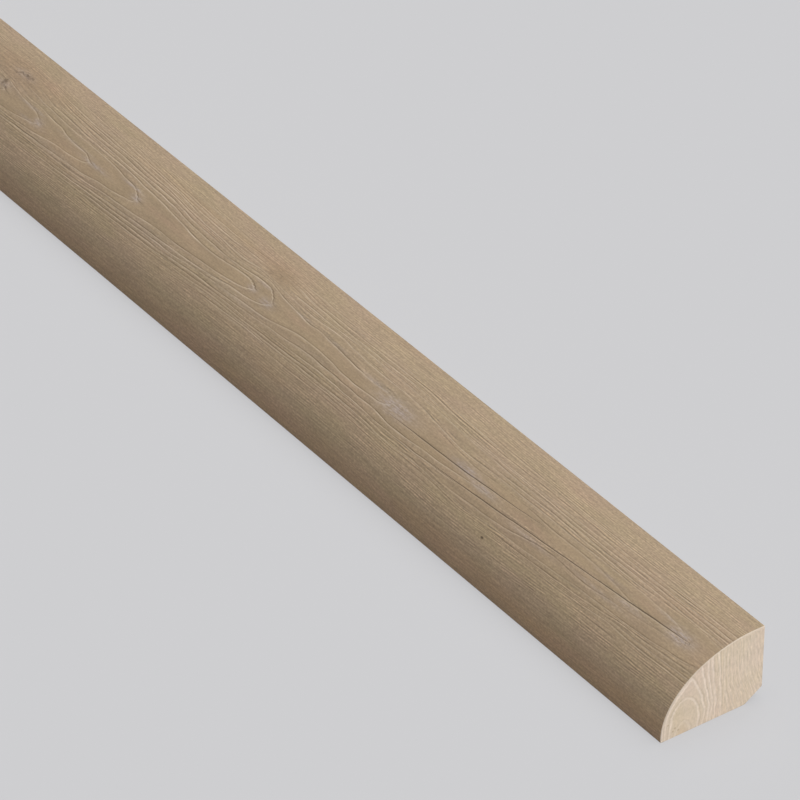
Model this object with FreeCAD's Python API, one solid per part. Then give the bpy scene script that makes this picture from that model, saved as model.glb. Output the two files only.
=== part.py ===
"""Quarter round moulding: one stick of solid oak, lying on its wide flat face.

The front is a rounded face that rises from a small upright land at the toe to a small level land beside the wall.
The hidden corner, where floor and wall meet, is planed off so that the stick seats on both.

Frame, in millimetres: X runs along the stick, Y from the toe to the wall side, Z up from the floor.
The origin is at floor level, half way along the stick and half way between the toe and the wall side.
"""

import FreeCAD
import Part
import math
import os

# Stock size
LENGTH = 1981.0  # a 78 inch stick
WIDTH = 27.0  # along the floor, from toe to wall
HEIGHT = 19.0  # up the wall

# Rounded face
TOE_LAND = 1.2  # upright strip between the floor and the start of the round
TOP_LAND = 2.5  # level strip between the end of the round and the wall

# Planed-off hidden corner
CORNER_CUT_WIDTH = 4.7  # along the floor
CORNER_CUT_HEIGHT = 3.0  # up the wall

# Softening of the stick's long sharp edges
ARRIS_RADIUS = 0.25

# Places that follow from the sizes
TOE_Y = -WIDTH / 2
WALL_Y = WIDTH / 2
LEFT_END_X = -LENGTH / 2
CREST_Y = WALL_Y - TOP_LAND
FLOOR_BACK_Y = WALL_Y - CORNER_CUT_WIDTH

# A quarter of an ellipse is exactly a three-pole curve whose middle pole has this weight
QUARTER_WEIGHT = math.cos(math.pi / 4)


def section_point(y, z):
    """A point of the section, in the plane of the stick's left end."""
    return FreeCAD.Vector(LEFT_END_X, y, z)


def rounded_edge(toe_top, crest):
    """The round of the section, a quarter ellipse that leaves both lands smoothly."""
    square_corner = section_point(TOE_Y, HEIGHT)
    curve = Part.BezierCurve()
    curve.setPoles([toe_top, square_corner, crest])
    curve.setWeight(2, QUARTER_WEIGHT)
    return curve.toShape()


def section_face():
    """The stick's cross-section, as a face."""
    toe_foot = section_point(TOE_Y, 0)
    toe_top = section_point(TOE_Y, TOE_LAND)
    crest = section_point(CREST_Y, HEIGHT)
    wall_top = section_point(WALL_Y, HEIGHT)
    wall_foot = section_point(WALL_Y, CORNER_CUT_HEIGHT)
    floor_back = section_point(FLOOR_BACK_Y, 0)
    outline = [
        Part.makeLine(toe_foot, toe_top),
        rounded_edge(toe_top, crest),
        Part.makeLine(crest, wall_top),
        Part.makeLine(wall_top, wall_foot),
        Part.makeLine(wall_foot, floor_back),
        Part.makeLine(floor_back, toe_foot),
    ]
    return Part.Face(Part.Wire(outline))


def long_sharp_edges(stick):
    """The four edges along the stick where two flat sides meet at an angle."""
    sharp_corners = [
        section_point(TOE_Y, 0),
        section_point(WALL_Y, HEIGHT),
        section_point(WALL_Y, CORNER_CUT_HEIGHT),
        section_point(FLOOR_BACK_Y, 0),
    ]
    along = [edge for edge in stick.Edges if abs(edge.Length - LENGTH) < 1e-6]
    return [
        edge
        for edge in along
        for corner in sharp_corners
        if min(vertex.Point.distanceToPoint(corner) for vertex in edge.Vertexes) < 1e-6
    ]


def quarter_round():
    """The whole stick: its section drawn out along X, with its long sharp edges softened."""
    stick = section_face().extrude(FreeCAD.Vector(LENGTH, 0, 0))
    return stick.makeFillet(ARRIS_RADIUS, long_sharp_edges(stick))


os.makedirs("parts", exist_ok=True)
moulding = quarter_round()
moulding.exportStep("parts/quarter_round.step")
print("solids:", len(moulding.Solids), "valid:", moulding.isValid(), "volume:", round(moulding.Volume, 1))
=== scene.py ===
import math

import bmesh
import bpy
import numpy as np
from mathutils import Matrix, Vector


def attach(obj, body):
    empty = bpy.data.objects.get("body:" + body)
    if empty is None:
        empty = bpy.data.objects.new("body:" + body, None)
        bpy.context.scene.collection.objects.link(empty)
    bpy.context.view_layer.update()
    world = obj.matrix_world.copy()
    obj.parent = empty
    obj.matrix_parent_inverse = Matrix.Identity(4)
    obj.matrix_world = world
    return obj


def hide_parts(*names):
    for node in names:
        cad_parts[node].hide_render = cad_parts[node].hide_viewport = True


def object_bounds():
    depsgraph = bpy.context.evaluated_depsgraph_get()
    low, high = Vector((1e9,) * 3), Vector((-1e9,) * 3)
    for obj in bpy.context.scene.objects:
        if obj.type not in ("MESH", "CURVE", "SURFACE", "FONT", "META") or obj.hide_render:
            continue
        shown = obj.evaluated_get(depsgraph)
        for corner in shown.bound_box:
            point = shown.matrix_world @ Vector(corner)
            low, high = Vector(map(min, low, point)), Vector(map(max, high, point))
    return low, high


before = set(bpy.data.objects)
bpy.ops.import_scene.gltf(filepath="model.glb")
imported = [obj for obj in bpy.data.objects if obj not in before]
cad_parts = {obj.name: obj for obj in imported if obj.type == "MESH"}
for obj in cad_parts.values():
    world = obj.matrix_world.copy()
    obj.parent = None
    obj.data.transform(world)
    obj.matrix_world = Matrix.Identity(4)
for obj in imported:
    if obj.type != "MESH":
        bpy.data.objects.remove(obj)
cadLow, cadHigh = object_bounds()
mm = 0.001

# The section and how finely it is divided. Lengths are in metres.
stick = {
    "toeLand": 1.2 * mm,
    "topLand": 2.5 * mm,
    "cutWidth": 4.7 * mm,
    "cutHeight": 3.0 * mm,
    "arris": 0.25 * mm,
    "endChamfer": 0.16 * mm,
    "endGrid": 0.6 * mm,  # spacing of the points that carry the rings of the sawn ends
    "roundColumns": [(33, 18), (48, 116), (9, 8)],  # degrees of the quarter turn, columns
    "topLandColumns": 4,
    "toeLandColumns": 2,
    "nearLength": 330 * mm,  # the stretch beside the near end that is seen close up
    "nearRows": 290,
    "farRows": 240,
    "arrisSegments": 3,
}

# The grain on the round, in millimetres: how far along from the near end, and how far round from the floor.
# Each growth ring crosses the round twice, above and below the crest of its loop, and starts at the loop's tip.
ringsAbove = {
    9: [(276.5, 21.8), (277.2, 22.6), (278.5, 23.4), (282, 23.9), (300, 24.1)],
    8: [(259, 20.6), (260.4, 21.4), (262, 22.2), (264, 22.6), (270, 23.15), (275, 23.7), (282, 24.8), (300, 25.3)],
    7: [(237, 20.9), (238.3, 21.25), (239.5, 21.8), (242.7, 22.15), (250, 22.7), (252.7, 23.3), (256, 23.55), (262, 24.0),
        (270, 24.15), (275, 24.8), (300, 26.3)],
    6: [(216.5, 21.1), (217.4, 21.8), (218.8, 22.5), (220.3, 23.1), (222, 23.45), (225, 23.6), (230, 24.1), (235, 24.55),
        (246, 24.7), (254, 25.05), (262, 25.35), (268, 25.9), (300, 27.2)],
    5: [(168.6, 22.4), (169.6, 22.8), (170.8, 23.25), (172.3, 23.6), (175, 23.6), (179, 23.4), (185, 22.8), (190, 22.75),
        (195, 23.0), (200, 23.55), (210, 24.45), (220, 25.05), (230, 25.7), (240, 25.75), (250, 26.15), (260, 26.4),
        (270, 27.0), (300, 28.0)],
    4: [(161.5, 22.0), (162.2, 22.9), (163.6, 24.0), (165.5, 24.9), (168, 25.2), (172, 25.1), (175, 24.8), (180, 24.4),
        (190, 24.5), (200, 24.95), (205, 25.5), (212, 26.0), (220, 26.3), (230, 26.6), (240, 26.85), (250, 27.15),
        (260, 27.45), (300, 28.8)],
    3: [(113, 22.2), (114, 22.6), (117, 23.15), (121, 22.95), (125, 22.95), (130, 23.15), (135, 23.5), (140, 23.9),
        (144, 24.3), (151, 24.15), (155, 24.8), (160, 25.1), (164, 25.7), (168, 26.3), (172, 26.1), (180, 25.4),
        (190, 25.75), (200, 26.1), (210, 27.1), (220, 27.2), (230, 27.65), (250, 27.95), (260, 28.25), (300, 29.6)],
    2: [(26, 21.0), (28, 21.35), (34, 21.9), (38, 22.4), (44, 22.5), (50, 22.4), (60, 22.6), (70, 22.7), (76, 22.65),
        (80, 22.4), (84, 22.3), (90, 22.7), (96, 23.3), (104, 24.1), (110, 24.3), (125, 24.2), (135, 24.9), (143, 25.3),
        (152, 25.2), (160, 25.8), (166, 26.6), (172, 26.8), (180, 25.95), (190, 26.6), (200, 26.9), (210, 27.9),
        (220, 28.2), (230, 28.6), (250, 28.9), (300, 30.3)],
    1: [(6, 22.3), (8, 22.8), (10, 23.1), (13, 23.6), (16, 23.95), (20, 24.1), (50, 24.15), (70, 24.1), (80, 23.95),
        (86, 23.8), (91, 23.8), (96, 24.35), (100, 24.8), (105, 25.35), (110, 25.7), (116, 25.85), (122, 25.65),
        (127, 25.75), (133, 26.2), (140, 26.7), (150, 26.3), (155, 26.3), (160, 26.5), (166, 27.0), (172, 27.3),
        (180, 26.7), (190, 27.1), (200, 27.6), (210, 28.5), (220, 29.0), (230, 29.3), (250, 29.6), (300, 31.0)],
    0: [(0, 25.5), (5, 25.75), (10, 25.9), (14, 25.8), (20, 25.45), (30, 25.1), (40, 25.1), (50, 25.2), (60, 25.4),
        (70, 25.15), (86, 25.1), (96, 25.4), (105, 26.2), (120, 26.4), (140, 27.2), (160, 27.1), (175, 27.7), (190, 27.6),
        (210, 28.8), (230, 29.7), (300, 31.7)],
    -1: [(0, 26.4), (20, 26.35), (30, 26.3), (40, 26.1), (50, 26.2), (60, 26.45), (70, 26.4), (80, 26.6), (90, 26.95),
         (100, 27.3), (110, 27.55), (120, 27.7), (130, 27.9), (150, 27.6), (160, 27.65), (168, 28.3), (180, 28.2),
         (190, 28.1), (200, 28.4), (210, 29.3), (230, 30.15), (300, 32.4)],
    -2: [(0, 27.4), (20, 27.4), (30, 27.2), (50, 27.0), (60, 27.15), (80, 27.4), (86, 27.25), (92, 27.3), (110, 27.95),
         (130, 28.25), (150, 28.05), (168, 29.0), (190, 28.8), (200, 29.1), (210, 29.8), (230, 30.9), (300, 33.1)],
    -3: [(0, 28.55), (20, 28.3), (40, 28.15), (100, 28.2), (110, 28.75), (130, 28.8), (150, 28.8), (168, 29.8),
         (190, 29.5), (210, 30.5), (230, 31.6), (300, 33.8)],
    -4: [(0, 29.85), (10, 29.65), (20, 29.3), (30, 29.1), (60, 29.1), (90, 29.0), (100, 29.2), (110, 29.85), (130, 29.9),
         (150, 29.7), (168, 30.5), (190, 30.2), (230, 32.3), (300, 34.5)],
    -5: [(0, 30.5), (20, 30.25), (60, 30.05), (90, 29.9), (100, 30.3), (110, 30.9), (130, 30.6), (150, 30.4), (168, 31.2),
         (230, 33.0), (300, 35.2)],
    -6: [(0, 31.5), (20, 31.2), (50, 30.6), (60, 30.7), (90, 30.9), (110, 31.7), (150, 31.2), (175, 32.0), (230, 33.7), (300, 35.9)],
}
ringsBelow = {
    9: [(276.5, 21.8), (277.5, 21.0), (281, 20.0), (300, 18.6)],
    8: [(259, 20.6), (260, 20.0), (263.5, 19.2), (266, 18.7), (270, 18.2), (300, 17.3)],
    7: [(237, 20.9), (238.2, 20.2), (240, 19.8), (244, 19.3), (250, 18.9), (254, 18.45), (260, 17.75), (270, 17.2),
        (300, 16.3)],
    6: [(216.5, 21.1), (217.4, 20.3), (220, 19.8), (225, 19.1), (230, 18.7), (236, 17.85), (246, 17.25), (256, 16.7),
        (266, 16.3), (300, 15.5)],
    5: [(168.6, 22.4), (169.6, 21.8), (171, 21.2), (174, 20.6), (180, 19.9), (190, 19.25), (196, 18.8), (206, 18.75),
        (210, 18.45), (216, 17.9), (225, 17.5), (235, 16.7), (245, 16.25), (260, 15.8), (300, 14.7)],
    4: [(161.5, 22.0), (162.4, 21.2), (164, 20.5), (166, 20.0), (170, 19.5), (176, 19.05), (180, 18.5), (185, 18.1),
        (190, 17.7), (196, 17.45), (200, 17.15), (210, 16.85), (225, 16.2), (240, 15.45), (260, 15.0), (300, 13.9)],
    3: [(113, 22.2), (114, 21.2), (116, 20.4), (120, 20.05), (125, 19.85), (130, 19.9), (134, 20.2), (140, 20.6),
        (145, 20.6), (150, 20.25), (155, 19.4), (160, 18.5), (166, 18.3), (175, 17.85), (185, 17.2), (190, 16.95),
        (194, 16.5), (205, 16.1), (216, 15.6), (230, 15.1), (250, 14.4), (300, 13.1)],
    2: [(26, 21.0), (30, 20.85), (40, 20.3), (50, 19.85), (60, 19.5), (70, 19.35), (76, 19.35), (80, 19.1), (85, 18.75),
        (90, 18.35), (95, 18.1), (100, 17.8), (106, 17.5), (111, 17.6), (116, 18.1), (124, 18.2), (134, 18.4), (145, 18.3),
        (150, 17.8), (158, 17.5), (165, 16.9), (175, 16.5), (185, 16.15), (195, 15.5), (205, 15.05), (220, 14.6),
        (250, 13.7), (300, 12.3)],
    1: [(6, 22.3), (8, 21.9), (15, 21.3), (26, 20.6), (40, 19.7), (50, 19.1), (60, 18.45), (70, 17.85), (80, 17.2),
        (87, 16.8), (95, 16.6), (105, 16.25), (112, 16.2), (125, 16.7), (140, 16.85), (150, 16.4), (165, 15.8),
        (180, 15.55), (190, 14.95), (200, 14.4), (250, 13.0), (300, 11.5)],
    0: [(0, 20.6), (5, 20.3), (10, 20.15), (15, 19.85), (20, 19.2), (30, 18.35), (36, 17.7), (40, 17.65), (50, 17.9),
        (55, 17.6), (60, 16.9), (65, 16.1), (70, 15.7), (80, 15.2), (85, 15.1), (92, 15.5), (104, 15.45), (110, 15.4),
        (116, 15.75), (130, 15.85), (140, 15.65), (160, 15.15), (176, 15.0), (190, 14.25), (200, 13.7), (300, 10.8)],
    -1: [(0, 18.95), (6, 17.9), (10, 17.65), (15, 17.1), (20, 16.8), (30, 16.45), (40, 16.0), (45, 15.65), (50, 15.45),
         (60, 14.8), (67, 14.6), (80, 13.85), (85, 14.2), (92, 14.65), (100, 14.7), (110, 14.4), (116, 14.75), (130, 14.9),
         (140, 14.8), (160, 14.5), (176, 14.35), (190, 13.5), (300, 10.0)],
    -2: [(0, 17.25), (6, 16.9), (13, 16.4), (18, 16.1), (25, 16.0), (28, 15.6), (35, 15.05), (45, 14.4), (55, 13.95),
         (70, 13.4), (80, 13.1), (90, 13.8), (104, 13.9), (125, 14.3), (150, 14.05), (170, 13.85), (190, 12.8),
         (300, 9.2)],
    -3: [(0, 15.9), (10, 15.6), (15, 15.35), (22, 15.3), (27, 15.0), (35, 14.5), (45, 13.9), (60, 13.5), (80, 12.5),
         (125, 13.6), (170, 13.2), (190, 12.1), (300, 8.5)],
    -4: [(0, 14.7), (10, 14.4), (20, 14.3), (28, 14.5), (33, 14.1), (45, 13.35), (60, 12.95), (80, 11.8), (125, 12.9),
         (190, 11.4), (300, 7.8)],
    -5: [(0, 13.95), (10, 13.65), (20, 13.4), (30, 13.2), (45, 12.6), (80, 11.1), (125, 12.2), (190, 10.7), (300, 7.0)],
}

# Growth rings on the sawn end: height above the floor and distance from the toe, in millimetres, for the limb of
# each pale line away from the toe and the limb towards it. The two limbs meet at the last point.
endAway = {
    4: [(0, 7.5), (1.3, 7.55), (2.2, 7.2), (2.8, 6.75), (3.15, 6.35), (3.3, 5.9)],
    3: [(0, 9.6), (1, 9.7), (2.2, 10.0), (3.5, 10.0), (4.5, 9.8), (5.8, 9.5), (6.8, 9.0), (8.0, 8.3), (8.8, 7.4), (9.1, 6.9), (9.2, 6.2)],
    2: [(0, 10.9), (1, 11.0), (2.2, 11.3), (3.4, 11.5), (4.4, 11.4), (5, 11.2), (6.3, 10.8), (7.8, 10.6), (9, 10.1),
        (10.4, 9.5), (11.6, 8.9), (12.9, 8.4), (13.8, 7.6)],
    1: [(0, 12.3), (2, 12.4), (3.5, 12.5), (4.3, 12.7), (5, 12.6), (6, 12.3), (7, 12.2), (8.4, 12.0), (9.8, 11.5),
        (11, 11.3), (12.7, 11.0), (14, 10.7), (19, 9.8)],
    0: [(0, 13.0), (1.3, 13.0), (2.5, 13.2), (3.5, 13.4), (4.4, 13.6), (5, 13.5), (6, 13.35), (7.2, 13.2), (8.3, 12.9),
        (10, 12.6), (11.6, 12.3), (13.8, 12.2), (19, 11.9)],
    -1: [(0, 14.1), (3, 14.2), (4.4, 14.4), (6, 14.2), (8.3, 14.0), (9.5, 13.8), (11, 13.6), (12.4, 13.5), (14, 13.3),
         (19, 13.1)],
    -2: [(0, 15.6), (4, 15.7), (7.3, 15.6), (8, 15.5), (9.5, 15.4), (12.5, 15.3), (16, 14.9), (19, 14.8)],
    -3: [(0, 17.9), (3, 17.6), (5, 17.2), (7, 16.8), (9, 16.6), (12, 16.5), (19, 16.4)],
    -5: [(0, 20.9), (3, 20.3), (5, 19.7), (7, 19.0), (9, 18.6), (11, 18.5), (14, 18.35), (17, 18.2), (19, 18.1)],
    -8: [(0, 24.0), (3, 23.3), (5, 22.6), (7, 22.0), (9, 21.5), (11, 21.3), (14, 21.0), (16.5, 20.9), (19, 20.8)],
    -12: [(0, 28.0), (4, 26.9), (6, 26.2), (8, 25.5), (10, 25.1), (13, 24.9), (16, 24.5), (19, 24.3)],
}
endTowards = {
    4: [(0, 3.5), (1.2, 3.8), (1.9, 4.2), (2.5, 4.75), (3.0, 5.2), (3.2, 5.5), (3.3, 5.9)],
    3: [(0, 2.2), (3.4, 2.4), (4.5, 2.6), (5.3, 2.7), (6.4, 3.0), (7.5, 3.6), (8.2, 4.3), (8.7, 4.9), (9.1, 5.6), (9.2, 6.2)],
    2: [(0, 0.9), (4.5, 1.2), (6, 1.5), (8, 2.4), (9.8, 3.8), (11, 5.0), (12.4, 6.5), (13.8, 7.6)],
}
endCrest = [(0, 5.6, 4.6), (3.3, 5.9, 4), (9.2, 6.2, 3), (13.8, 7.6, 2), (19, 8.5, 1.1)]  # height, from the toe, ring

# How the rest of the grain is laid out. Lengths are in millimetres too.
grain = {
    "tracedTo": (268, 300),  # the lines above are blended out between these
    "crestPath": [(0, 22.4), (6, 22.3), (26, 21.0), (60, 21.0), (86, 20.9), (113, 22.1), (140, 22.2), (161, 22.0),
                  (168.6, 22.4), (190, 21.0), (205, 21.2), (216, 21.1), (237, 20.9), (259, 20.6), (276, 21.8), (330, 21.6)],
    "crestRings": [(-30, 0.3), (6, 1), (26, 2), (60, 2.45), (86, 2.5), (113, 3), (140, 3.5), (161.5, 4), (168.6, 5),
                   (216.5, 6), (237, 7), (259, 8), (276.5, 9), (300, 9.7), (330, 10.6)],
    # stretches of ring lines: ring, above (1) or below (-1), from, to, how pale, how dark
    "stretches": [
        (0, 1, 91, 400, 0, 0), (2, 1, 86, 164, 0, 0), (-2, 1, 91, 164, 0, 0), (2, -1, 20, 73, 0, 0), (-3, -1, 27, 80, 0, 0),
        (1, -1, 6, 84, 0, 0), (1, 1, 0, 11, 0.1, 0), (1, 1, 11, 33, 0.35, 0.2), (1, 1, 33, 84, 0.6, 0.9),
        (-1, 1, 28, 82, 0.8, 1.1), (0, 1, 34, 76, 0.8, 0.9), (-2, 1, 0, 26, 0.7, 1.1), (-2, 1, 26, 76, 0.8, 0.6),
        (-3, 1, 0, 30, 0.8, 0.9), (-3, 1, 30, 76, 0.7, 0.5), (-4, 1, 0, 20, 0.9, 1.1), (-5, 1, 0, 20, 0.8, 0.8),
        (-4, 1, 100, 118, 0.6, 1), (-1, 1, 112, 160, 0.8, 1.1), (3, 1, 149, 161, 0.9, 1.2), (-3, 1, 137, 155, 0.7, 1),
        (3, 1, 113, 127, 0.5, 0), (1, 1, 86, 140, 0.85, 0.25), (3, 1, 200, 228, 0.8, 1), (2, 1, 198, 228, 0.8, 1),
        (4, 1, 178, 206, 0.5, 1), (5, 1, 178, 192, 0.6, 1), (5, 1, 192, 216, 1, 0.8), (4, 1, 206, 230, 0.9, 0.9),
        (1, 1, 186, 232, 0.8, 0.8), (6, 1, 217, 232, 0.6, 0.9), (7, 1, 240, 258, 0.7, 0.9), (8, 1, 262, 276, 0.8, 0.8),
        (-3, -1, 0, 27, 0.6, 0.5), (-4, -1, 4, 24, 1, 0.5), (-2, -1, 0, 30, 0.5, 0.65), (-1, -1, 0, 14, 0.3, 0.8),
        (-1, -1, 14, 33, 0.5, 0.8), (-5, -1, 0, 30, 0.5, 0.3),
        (-1, -1, 33, 72, 0.45, 0.3), (0, -1, 0, 12, 0.15, 0.1), (0, -1, 12, 30, 0.15, 0.4), (0, -1, 30, 60, 0.15, 1.1),
        (0, -1, 60, 82, 0.7, 0.7), (0, -1, 150, 170, 0.6, 1), (-2, -1, 156, 178, 1.1, 1), (-1, -1, 132, 172, 0.8, 1),
        (-3, -1, 164, 176, 1, 0.8), (5, -1, 180, 208, 0.5, 0.9), (4, -1, 176, 200, 0.9, 0.4), (2, -1, 84, 102, 0.9, 0.4),
        (7, -1, 238, 258, 0.9, 0.3), (2, -1, 230, 250, 0.8, 0.8), (3, -1, 128, 160, 0.7, 0.6),
        (5, 1, 166, 178, 0.8, 1.1), (5, -1, 166, 180, 0.85, 0.5), (4, 1, 159, 178, 0.7, 1.0), (4, -1, 159, 176, 0.85, 0.4),
        (6, 1, 214, 224, 0.75, 1.1), (6, -1, 214, 226, 0.7, 0.4), (7, 1, 234, 243, 0.6, 1.0), (7, -1, 234, 240, 0.7, 0.4),
        (8, 1, 257, 276, 0.55, 0.9), (8, -1, 257, 268, 0.7, 0.4),
        (7, 1, 260, 300, 0.4, 0.3), (6, 1, 250, 300, 0.5, 0.5), (5, 1, 250, 300, 0.5, 0.5), (4, 1, 256, 300, 0.4, 0.5),
    ],
    "plateau": 3.1,  # half width of the plain band inside the first loop
    "pitch": 0.85,  # between rings outside the loops
    "upperTip": 2.8,  # how blunt a loop's tip is above and below the crest
    "lowerTip": 1.5,
    "knots": [(279, 28.7, 11, 2.5), (168, 29.5, 5, 2.0)],  # along, round, half length, half width
    "bow": (277, 15, 1.8),  # the lines above the crest rise round the far knot: along, half length, rise
    "sags": [],  # along, reach to the far side, reach to the near side, drop
    "checks": [
        [(57, 22.0, 0.02), (66, 21.4, 0.06), (75, 20.9, 0.09), (85, 20.35, 0.11), (100, 20.0, 0.10), (108, 19.8, 0.05),
         (116, 19.6, 0.0)],
        [(6.5, 22.15, 0.02), (9.5, 22.0, 0.07), (14, 21.7, 0.11), (20, 21.3, 0.13), (30, 20.6, 0.10), (40, 20.0, 0.08), (50, 19.35, 0.08),
         (60, 18.8, 0.09), (70, 18.15, 0.11), (80, 17.6, 0.09), (88, 17.2, 0.05), (96, 16.9, 0.0)],
    ],  # along, round, half width
    "checkDepth": 0.05,
    "checkReach": 0.22,  # the crack's edges are worn down this far to each side
    "lineWidth": 0.18,  # of the groove along each ring line
    "lineDepth": 0.013,
    "grooveShift": 0.17,  # the groove lies this far above the pale line
    "band": (11.5, 15.0, 29.8, 33.5),  # the lines fade in and out between these
    # limed and warmer patches: along, round, half length, half width, how plain
    "blotches": [(112, 21.6, 6.5, 2.1, 0.95), (121, 23.3, 6, 0.6, 0.6), (84, 20.8, 5, 1.1, 0.9), (77, 19.8, 5, 0.9, 0.8),
                 (57, 17.7, 7, 0.6, 0.5), (34, 18.3, 9, 0.6, 0.45), (25, 20.1, 4.8, 0.8, 0.6), (34, 22.2, 5, 0.5, 0.45),
                 (9.5, 21.9, 4.0, 1.6, 1.1), (16, 23.7, 3.5, 0.4, 0.6), (163, 21.6, 2.5, 1.2, 0.8), (168, 24.8, 3, 0.4, 0.6),
                 (169.5, 22.3, 1.5, 0.9, 0.8), (139, 24.3, 4, 0.4, 0.5), (152, 24.6, 3, 0.4, 0.6), (217.3, 21.5, 1.8, 1.1, 0.9),
                 (221, 23.3, 4, 0.45, 0.8), (235.5, 21.2, 5, 0.6, 0.8), (245, 22.4, 7, 0.4, 0.5), (259.6, 20.7, 1.8, 1.1, 0.85),
                 (265, 22.8, 5, 0.4, 0.7), (277, 28.3, 3.8, 1.2, 0.5), (278.5, 22.8, 2.5, 1.2, 0.6), (250, 17.4, 13, 1.3, 0.25),
                 (205, 16.8, 13, 1.4, 0.25), (172, 18.0, 12, 1.2, 0.25), (140, 18.6, 10, 1.3, 0.2), (262, 19.6, 5, 0.5, 0.5)],
    "blushes": [(2, 21.5, 6, 2.6, 0.5), (21, 22.6, 6, 0.8, 0.5), (60, 20.1, 8, 0.9, 0.6), (92, 23.4, 6, 0.9, 0.5),
                (38, 28.5, 9, 1.8, 0.4), (168, 31.5, 10, 3.0, 0.7), (151, 22.9, 5, 1.0, 0.5), (204, 21.6, 9, 1.0, 0.5),
                (231, 22.2, 5, 1.1, 0.4), (247, 20.8, 7, 0.9, 0.4), (282, 29.0, 12, 3.5, 0.7), (262, 28.5, 10, 1.6, 0.5), (267, 30.2, 5, 1.8, 0.9),
                (196, 26.8, 9, 1.2, 0.45), (60, 33.5, 8, 1.6, 0.35), (8, 27.6, 8, 2.0, 0.3), (300, 22.0, 16, 3.0, 0.4)],
    "seed": 7,
}


def through(points, s):
    # a smooth curve through given points
    x = np.array([p[0] for p in points], float)
    y = np.array([p[1] for p in points], float)
    slope = np.gradient(y, x)
    i = np.clip(np.searchsorted(x, s) - 1, 0, len(x) - 2)
    width = x[i + 1] - x[i]
    t = np.clip((s - x[i]) / width, 0, 1)
    ends = (2 * t ** 3 - 3 * t ** 2 + 1) * y[i] + (3 * t ** 2 - 2 * t ** 3) * y[i + 1]
    return ends + width * ((t ** 3 - 2 * t ** 2 + t) * slope[i] + (t ** 3 - t ** 2) * slope[i + 1])


def waves(a, b, seed, parts):
    # a smooth irregular field made of slanted sine waves; parts are (wavelength in a, in b, size)
    chance = np.random.RandomState(seed)
    total = 0.0
    for lengthA, lengthB, size in parts:
        for turn in range(3):
            scaleA, scaleB, start = chance.uniform(0.7, 1.4), chance.uniform(0.7, 1.4), chance.uniform(0, 2 * math.pi)
            total = total + 0.6 * size * np.sin(2 * math.pi * (a / lengthA / scaleA + b / lengthB / scaleB) + start)
    return total


def farGrain():
    # carries the crest, its rings, knots and cracks on along the part of the stick past the listed stretch
    chance = np.random.RandomState(grain["seed"])
    along, rings = grain["crestRings"][-1]
    reach = (cadHigh.x - cadLow.x) / mm + 40
    while along < reach:
        along += chance.choice([9, 20, 27, 40, 55])
        rings += 1.0
        crest = 21.5 + chance.uniform(-1.0, 1.0)
        grain["crestRings"].append((along, rings))
        grain["crestPath"].append((along, crest))
        grain["blotches"].append((along, crest, chance.uniform(3, 6), chance.uniform(0.6, 1.3), chance.uniform(0.4, 1.0)))
    for place in range(460, int(reach), 210):
        spot = place + chance.uniform(-60, 60)
        grain["knots"].append((spot, chance.uniform(27.5, 30), chance.uniform(4, 7), chance.uniform(1.4, 2.0)))
        grain["sags"].append((spot + 4, chance.uniform(18, 28), 7, chance.uniform(1.0, 1.8)))
    for place in range(520, int(reach), 330):
        start = place + chance.uniform(-90, 90)
        height, length = chance.uniform(18, 21.5), chance.uniform(35, 80)
        drop = chance.uniform(0.8, 2.5)
        grain["checks"].append([(start, height, 0.0), (start + 0.3 * length, height - 0.35 * drop, 0.13),
                                (start + 0.7 * length, height - 0.6 * drop, 0.12), (start + length, height - drop, 0.0)])


def farRings(s, u):
    # the count of growth rings away from the listed lines; whole numbers are the ring lines
    crest = through(grain["crestPath"], s)
    rings = np.interp(s, [p[0] for p in grain["crestRings"]], [p[1] for p in grain["crestRings"]])
    v = u + waves(s, u, 3, [(140, 40, 0.22), (45, 16, 0.10), (17, 7, 0.05)])
    for along, farReach, nearReach, drop in grain["sags"]:
        reach = np.where(s > along, farReach, nearReach)
        v = v + drop * np.exp(-(((s - along) / reach) ** 2)) * np.clip((u - 23.0) / 2.5, 0, 1) * np.clip((35 - u) / 5, 0, 1)
    for along, height, halfLength, halfWidth in grain["knots"][2:]:
        near = np.exp(-(((s - along) / (1.5 * halfLength)) ** 2) - ((u - height) / (2.2 * halfWidth)) ** 2)
        v = height + (v - height) * (1 - 0.6 * near)
        rings = rings - 1.4 * np.exp(-(((s - along) / halfLength) ** 2) - ((u - height) / halfWidth) ** 2)
    side = v - crest
    half = grain["plateau"] + 0.35 * np.sin(s / 31)
    d = np.abs(side) / half
    power = np.where(side > 0, grain["upperTip"], grain["lowerTip"])
    edge = 1.12
    inner = 0.8 * d ** power + 0.2 * d ** 6
    atEdge = 0.8 * edge ** power + 0.2 * edge ** 6
    beyond = (d - edge) * half
    uneven = 0.28 * np.sin(beyond * 1.9 + s / 60) + 0.2 * np.sin(beyond * 3.3 + 2 + s / 95)
    outer = atEdge + beyond / grain["pitch"] + uneven * np.clip(beyond, 0, 1)
    return rings - np.where(d < edge, inner, outer)


def ringsAcross(place, across, crest, rings, sides):
    # the ring count across the wood at one place, from the lines that pass there on each side of the crest
    knots = [(crest, rings)]
    for lines, way in sides:
        reached = crest
        for number in sorted(lines, reverse=True):
            if place > lines[number][0][0] and number <= rings:
                reached = way * max(way * float(through(lines[number], place)), way * reached + 0.12)
                knots.append((reached, number))
        knots.append((reached + way * 40 * grain["pitch"], number - 40))
    knots.sort()
    return np.interp(across, [k[0] for k in knots], [k[1] for k in knots])


def nearRings(s, around):
    crest = float(through(grain["crestPath"], s))
    rings = np.interp(s, [p[0] for p in grain["crestRings"]], [p[1] for p in grain["crestRings"]])
    return ringsAcross(s, around, crest, rings, ((ringsAbove, 1), (ringsBelow, -1)))


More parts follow.
